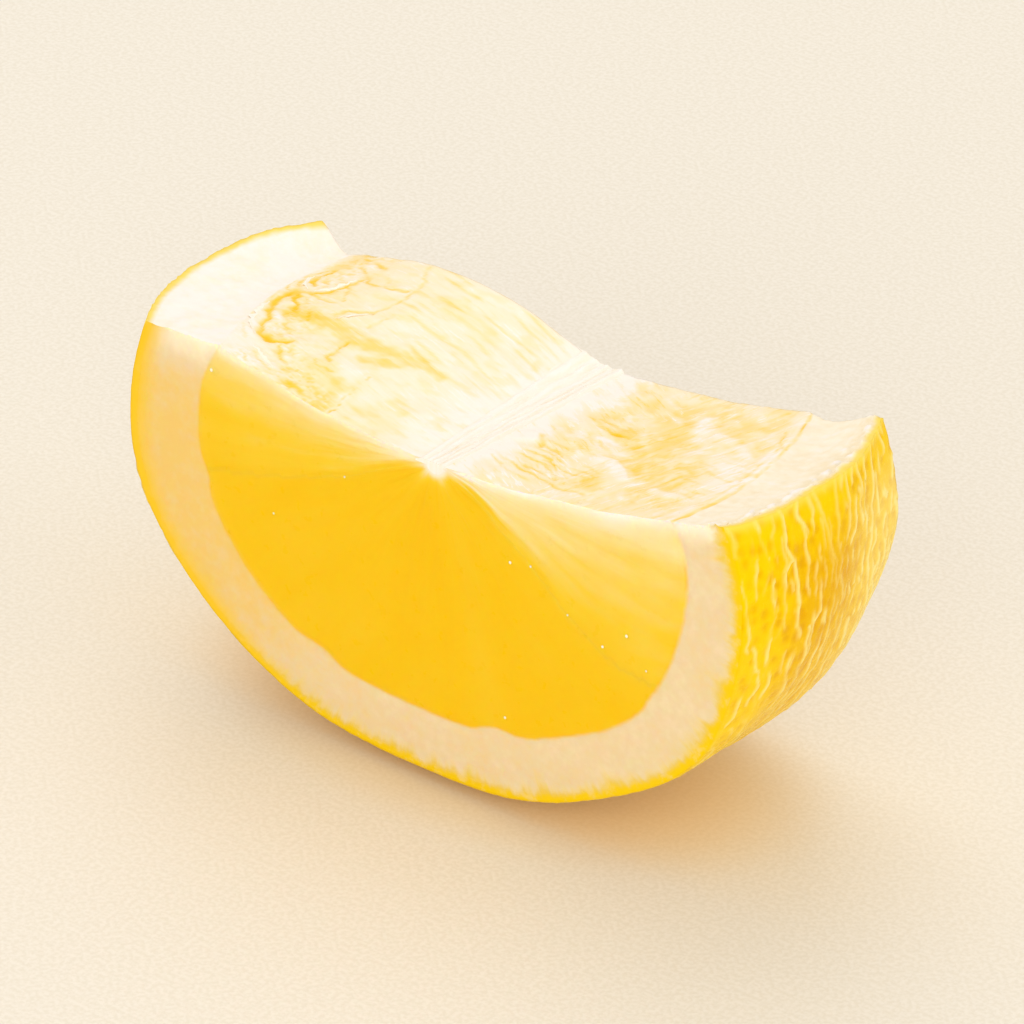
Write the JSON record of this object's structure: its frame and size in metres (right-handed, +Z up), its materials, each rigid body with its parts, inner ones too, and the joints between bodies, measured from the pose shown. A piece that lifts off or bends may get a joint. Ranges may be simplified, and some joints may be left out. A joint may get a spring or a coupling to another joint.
{
  "type": "lemon wedge",
  "caption": "Thick half-moon chunk of fresh lemon with peel, cut crosswise on both sides and lengthwise through the core on top, showing pith, juicy segments and the white core.",
  "frame": {"origin": "middle of the underside: the centre of the box in X and Y, on the surface that the wedge rests on", "axes": "+Z up, +X to the right along the crosswise front cut, which is the longest side, and +Y along the fruit's core from the front cut to the back cut, which is the shortest side"},
  "size_m": [0.0646, 0.0224, 0.0352],
  "materials": {
    "peel": "waxy lemon yellow peel with small dimples",
    "pith": "spongy cream-white pith, moist",
    "pulp": "wet, translucent golden pulp with fine radial strands",
    "membrane": "thin, moist, pale membrane, wrinkled over the segments",
    "core": "white fibrous core",
    "juice": "clear pale yellow juice"
  },
  "bodies": {
    "root": {"lemon_wedge": "peel"}
  },
  "joints": []
}
